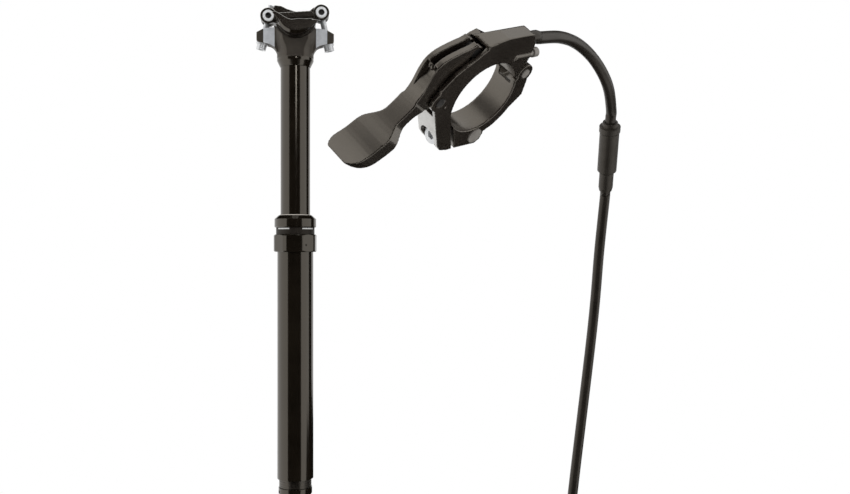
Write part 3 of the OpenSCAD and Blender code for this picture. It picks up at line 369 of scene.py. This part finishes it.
def lever_shape(co, normal):
    at = in_remote(co)
    up = (TO_REMOTE_TURN @ normal).y
    if not (TROUGH["end"] < at.x < TROUGH["start"] and up > TROUGH["facing"]):
        return co
    lip = TROUGH["lip"]
    along = ramp_up(at.x, TROUGH["end"], TROUGH["start"] - TROUGH["level"])
    along *= 1 - ramp_up(at.x, TROUGH["start"] - lip, TROUGH["start"])
    across = ramp_up(at.z, TROUGH["far"], TROUGH["far"] + lip)
    across *= 1 - ramp_up(at.z, TROUGH["near"] - lip, TROUGH["near"])
    return co - normal * (TROUGH["depth"] * MM * along * across)


eased("thumb_lever", voxel=0.16, rounds=6, mats=[remote_black], shape=lever_shape)

# A face with more of its normal than this along a direction counts as facing that way
FACING = 0.8

# The strap bolt's flat on the clamp is left bare
BOLT_FLAT_NORMAL = Vector((-0.889, 0.457, 0))
BOLT_FLAT_X = -9
BOLT_FLAT_Y = 16


def clamp_face(centre, normal):
    at = in_remote(centre)
    facing = (TO_REMOTE_TURN @ normal).dot(BOLT_FLAT_NORMAL)
    return 1 if facing > FACING and at.x < BOLT_FLAT_X and at.y < BOLT_FLAT_Y else 0


eased("clamp_body", voxel=0.2, rounds=6, mats=[remote_black, bare_flat], pick=clamp_face)
eased("clamp_strap", voxel=0.2, rounds=6, mats=[remote_black])

# The head's lugs are bare between the block and their dark noses, and its neck is polished
LUG_FACE = (0.0178, 0.0272)
NECK_TOP = 0.3622


def head_face(centre, normal):
    if centre.z < NECK_TOP:
        return 2
    return 1 if abs(normal.y) > FACING and LUG_FACE[0] < abs(centre.x) < LUG_FACE[1] else 0


eased("head", voxel=0.33, rounds=4, mats=[head_black, blasted, gloss_black], pick=head_face)

# The saddle clamp's upward-leaning edges get a pale painted highlight, and its bevelled ends take the
# glossier black so they shine
EDGE_LEAN = 0.25
END_FLAT = 0.9


def clamp_edge(centre, normal):
    if abs(normal.y) < EDGE_LEAN:
        return 0
    # Faces leaning upwards take the pale painted highlight
    if normal.z > EDGE_LEAN:
        return 1
    return 2 if abs(normal.y) < END_FLAT else 0


for node in ("lower_cradle", "upper_clamp"):
    eased(node, voxel=0.3, rounds=5, mats=[clamp_black, painted_edge_highlight, gloss_black], pick=clamp_edge)

# The barrel nuts are bright steel, and their socket and the face round it are painted dark as the
# socket's shade
NUT_SOCKET_R = 0.0026


def shiny_nut(node):
    low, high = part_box(node)
    middle = (low + high) / 2

    def socket_shade_face(centre, normal):
        # Faces near the middle, round the socket, are painted dark as painted shade
        return 1 if math.hypot(centre.x - middle.x, centre.z - middle.z) < NUT_SOCKET_R else 0

    eased(node, voxel=0.2, rounds=2, mats=[bright_steel, dark_steel], pick=socket_shade_face)


shiny_nut("front_barrel_nut")
shiny_nut("rear_barrel_nut")

# Added pieces


def added(name, build, node, mat):
    """A new piece that rides with the given node."""
    mesh = bpy.data.meshes.new(name)
    bmesh.ops.recalc_face_normals(build, faces=build.faces)
    build.to_mesh(mesh)
    build.free()
    mesh.materials.append(mat)
    mesh.shade_smooth()
    obj = bpy.data.objects.new(name, mesh)
    scene.collection.objects.link(obj)
    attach(obj, BODY[node])
    return obj


ROUND_STEPS = 24

# Rolled threads on the clamp bolts, each from its seat in the lug towards its barrel nut
THREAD_START = 7
THREAD_END = 29
THREAD_PITCH = 0.8
THREAD_R = 2.5
THREAD_RISE = 0.06
THREAD_LIFT = 0.01
FRONT_SEAT = Vector((28.2, 0, 375))
FRONT_NUT = Vector((22.24, 0, 401.591))
REAR_SEAT = Vector((-28.2, 0, 375))
REAR_NUT = Vector((-22.974, 0, 397.476))

# Half the ridge's width at its foot and at its crest, as shares of the pitch
RIDGE_FOOT = 0.42
RIDGE_CREST = 0.06


def thread(name, foot, top, node):
    """A helical ridge round the line from foot to top, which swells and fades in one turn each."""
    line = (top - foot).normalized()
    side = line.orthogonal().normalized()
    back = line.cross(side)
    count = int((THREAD_END - THREAD_START) / THREAD_PITCH * ROUND_STEPS)
    build = bmesh.new()
    rows = []
    for k in range(count + 1):
        a = 2 * math.pi * k / ROUND_STEPS
        out = math.cos(a) * side + math.sin(a) * back
        rise = THREAD_RISE * min(1, k / ROUND_STEPS, (count - k) / ROUND_STEPS)
        at = foot + (THREAD_START + k / ROUND_STEPS * THREAD_PITCH) * line
        ridge = ((THREAD_LIFT, -RIDGE_FOOT), (rise + THREAD_LIFT, -RIDGE_CREST),
                 (rise + THREAD_LIFT, RIDGE_CREST), (THREAD_LIFT, RIDGE_FOOT))
        rows.append([build.verts.new((at + out * (THREAD_R + r) + line * h * THREAD_PITCH) * MM)
                     for r, h in ridge])
    for low, high in zip(rows, rows[1:]):
        for k in range(3):
            build.faces.new((low[k], low[k + 1], high[k + 1], high[k]))
    return added(name, build, node, steel)


thread("front_bolt_thread", FRONT_SEAT, FRONT_NUT, "front_clamp_bolt")
thread("rear_bolt_thread", REAR_SEAT, REAR_NUT, "rear_clamp_bolt")

# Two plain white lines on the band
STRIPE_Z = (214.7, 215.9)
STRIPE_RISE = 0.06


def stripe(name, left, right):
    """A thin painted line round the band's front, from left to right across the post."""
    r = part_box("collar_band")[1].x / MM
    build = bmesh.new()
    rows = []
    for k in range(ROUND_STEPS + 1):
        a = math.asin((left + (right - left) * k / ROUND_STEPS) / r)
        rows.append([build.verts.new(Vector((q * math.sin(a), -q * math.cos(a), z)) * MM)
                     for q, z in ((r - STRIPE_RISE, STRIPE_Z[0]), (r + STRIPE_RISE, STRIPE_Z[0]),
                                  (r + STRIPE_RISE, STRIPE_Z[1]), (r - STRIPE_RISE, STRIPE_Z[1]))])
    for low, high in zip(rows, rows[1:]):
        for k in range(4):
            build.faces.new((low[k], low[k - 1], high[k - 1], high[k]))
    build.faces.new(rows[0])
    build.faces.new(rows[-1])
    return added(name, build, "collar_band", white_paint)


stripe("left_stripe", -14.6, -5.2)
stripe("right_stripe", 5.8, 14.7)

# Studio


def plain(name, colour):
    """A dull surface of the stage."""
    mat = bpy.data.materials.new(name)
    mat.use_nodes = True
    shader = mat.node_tree.nodes["Principled BSDF"]
    shader.inputs["Base Color"].default_value = (*colour, 1)
    shader.inputs["Roughness"].default_value = 0.9
    shader.inputs["Specular IOR Level"].default_value = 0
    return mat


def glowing(name, power):
    """A light that grows from nothing at its foot to the given power at its top."""
    mat = bpy.data.materials.new(name)
    mat.use_nodes = True
    n = Nodes(mat.node_tree)
    rise = n.add("SeparateXYZ", Vector=n.add("TexCoord").outputs["Generated"]).outputs["Z"]
    glow = n.add("Emission", Strength=n.span(rise, 0.0, power))
    n.set(mat.node_tree.nodes["Material Output"], "Surface", glow.outputs["Emission"])
    return mat


def panel(name, corners, mat):
    mesh = bpy.data.meshes.new(name)
    mesh.from_pydata(corners, [], [range(len(corners))])
    mesh.materials.append(mat)
    obj = bpy.data.objects.new(name, mesh)
    scene.collection.objects.link(obj)
    return obj


def reflected(name, corners, mat):
    """A panel that shows in reflections only."""
    obj = panel(name, corners, mat)
    obj.visible_camera = False
    obj.visible_diffuse = False
    obj.visible_shadow = False
    return obj


FLOOR_Z = -0.133
pale = plain("floor_pale", (0.80, 0.80, 0.79))
floor = panel("floor", [(-2, -2, FLOOR_Z), (2, -2, FLOOR_Z), (2, 0.19, FLOOR_Z),
                        (-2, 0.72, FLOOR_Z)], pale)
floor.visible_glossy = False

# Black flags that draw the dark bands on the glossy tubes
LOW_Z = -0.3
TOP_Z = 1.3
FLAG_FOOT = -1.2
FLAG_TOP = 1.8
FRONT_Y = -1.5
SIDE_X = 1.2
black = plain("flag_black", (0.004, 0.003, 0.002))
reflected("front_flag", [(-1.73, FRONT_Y, FLAG_FOOT), (1.11, FRONT_Y, FLAG_FOOT),
                         (1.11, FRONT_Y, FLAG_TOP), (-0.9, FRONT_Y, FLAG_TOP),
                         (-1.73, FRONT_Y, 0.8)], black)
reflected("top_flag", [(-SIDE_X, 0, TOP_Z), (SIDE_X, 0, TOP_Z), (SIDE_X, 2.6, TOP_Z),
                       (-SIDE_X, 2.6, TOP_Z)], black)
reflected("side_flag", [(SIDE_X, 0.12, FLAG_FOOT), (SIDE_X, 0.81, FLAG_FOOT),
                        (SIDE_X, 0.81, FLAG_TOP), (SIDE_X, 0.12, FLAG_TOP)], black)
reflected("low_flag", [(-0.28, -2, LOW_Z), (0.22, -2, LOW_Z), (0.22, -0.4, LOW_Z),
                       (2, -0.4, LOW_Z), (2, 2, LOW_Z), (-0.28, 2, LOW_Z)], black)

# A narrow light, brighter upwards, that draws the line on the shaft
STRIP_X = (0.06, 0.26)
STRIP_Y = -1.49
STRIP_Z = (0.46, 0.68)
STRIP_POWER = 7.5
reflected("strip", [(STRIP_X[0], STRIP_Y, STRIP_Z[0]), (STRIP_X[1], STRIP_Y, STRIP_Z[0]),
                    (STRIP_X[1], STRIP_Y, STRIP_Z[1]), (STRIP_X[0], STRIP_Y, STRIP_Z[1])],
          glowing("strip_light", STRIP_POWER))

# Soft lights
AIM = Vector((0, -0.3, 0.2))


def softbox(name, at, size, watts):
    light = bpy.data.lights.new(name, "AREA")
    light.shape = "RECTANGLE"
    light.size, light.size_y = size
    light.energy = watts
    obj = bpy.data.objects.new(name, light)
    obj.location = at
    obj.rotation_euler = (AIM - Vector(at)).to_track_quat("-Z", "Y").to_euler()
    obj.visible_glossy = False
    scene.collection.objects.link(obj)
    return obj


softbox("key_box", at=(-1.5, -1.0, 1.3), size=(0.9, 0.9), watts=16)
softbox("fill_box", at=(1.4, -1.2, 0.9), size=(0.5, 1.2), watts=8)

# The world is white to the camera and in reflections, and dimmer as a light
WORLD_SEEN = 1.0
WORLD_LIGHT = 0.55


def studio_world():
    world = bpy.data.worlds.new("studio")
    world.use_nodes = True
    n = Nodes(world.node_tree)
    rays = n.add("LightPath").outputs
    seen = n.larger(rays["Is Camera Ray"], rays["Is Glossy Ray"])
    seen = n.larger(seen, rays["Is Transmission Ray"])
    background = world.node_tree.nodes["Background"]
    background.inputs["Color"].default_value = (1, 1, 1, 1)
    n.set(background, "Strength", n.span(seen, WORLD_LIGHT, WORLD_SEEN))
    return world


scene.world = studio_world()
scene.view_settings.view_transform = "Standard"

# Bring the scene up to date

bpy.context.view_layer.update()
